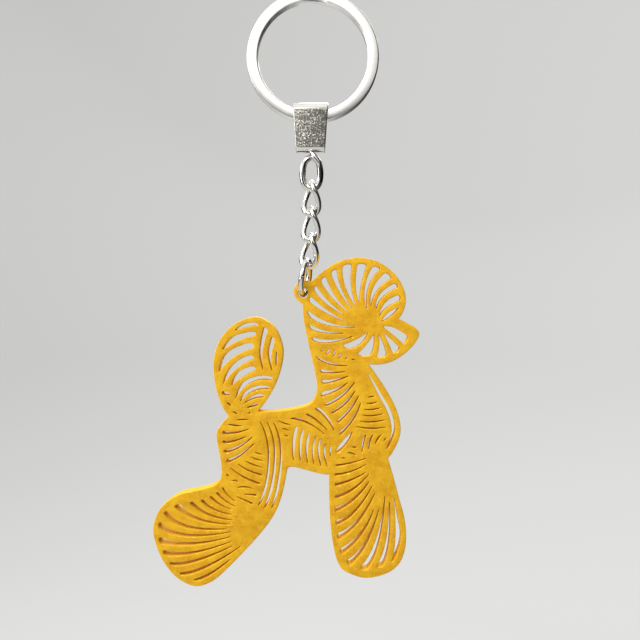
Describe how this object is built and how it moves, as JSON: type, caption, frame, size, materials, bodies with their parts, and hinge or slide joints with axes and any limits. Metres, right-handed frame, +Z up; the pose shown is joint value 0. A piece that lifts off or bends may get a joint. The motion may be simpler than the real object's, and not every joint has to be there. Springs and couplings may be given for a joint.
{
  "type": "key ring charm",
  "caption": "Hanging key charm: a flat openwork poodle on a short chain of twisted links, with a swivel eye, a folded strap connector and a flat split ring.",
  "frame": {"origin": "the lowest point of what holds the charm up: the top of the split ring's inner edge", "axes": "+Z up along the hanging chain, -Y out of the poodle's face, +X towards the poodle's muzzle"},
  "size_m": [0.0599, 0.0088, 0.1347],
  "materials": {
    "satin_nickel": "satin nickel plate",
    "grained_nickel": "grained matt nickel with polished edges",
    "bright_nickel": "polished nickel plate",
    "gold_print": "glittering golden yellow printed plastic"
  },
  "bodies": {
    "ring": {"split_ring": "satin_nickel"},
    "connector": {"ring_connector": "grained_nickel"},
    "eye": {"swivel_eye": "bright_nickel"},
    "link_1": {"chain_link_1": "bright_nickel"},
    "link_2": {"chain_link_2": "bright_nickel"},
    "link_3": {"chain_link_3": "bright_nickel"},
    "jump": {"jump_ring": "bright_nickel"},
    "charm": {"poodle_charm": "gold_print"}
  },
  "joints": [
    {"name": "connector_slide_round", "type": "hinge", "parent": "ring", "child": "connector", "pos_m": [0, 0, -0.01245], "axis": [0, 1, 0], "continuous": true},
    {"name": "eye_swivel", "type": "hinge", "parent": "connector", "child": "eye", "pos_m": [-0.0003, 0, -0.034], "axis": [0, 0, 1], "continuous": true},
    {"name": "link_1_swing", "type": "hinge", "parent": "eye", "child": "link_1", "pos_m": [-0.0003, 0, -0.04238], "axis": [1, 0, 0], "range_deg": [-40, 40]},
    {"name": "link_2_swing", "type": "hinge", "parent": "link_1", "child": "link_2", "pos_m": [-0.00038, 0, -0.04825], "axis": [-0.9999, 0, 0.014], "range_deg": [-40, 40]},
    {"name": "link_3_swing", "type": "hinge", "parent": "link_2", "child": "link_3", "pos_m": [-0.00051, 0, -0.05422], "axis": [0.9998, 0, -0.0209], "range_deg": [-40, 40]},
    {"name": "jump_ring_swing", "type": "hinge", "parent": "link_3", "child": "jump", "pos_m": [-0.00103, 0, -0.06017], "axis": [-0.9755, 0.1736, 0.1348], "range_deg": [-40, 40]},
    {"name": "charm_swing", "type": "hinge", "parent": "jump", "child": "charm", "pos_m": [-0.0022, 0, -0.06605], "axis": [0, 1, 0], "range_deg": [-12, 100]}
  ]
}
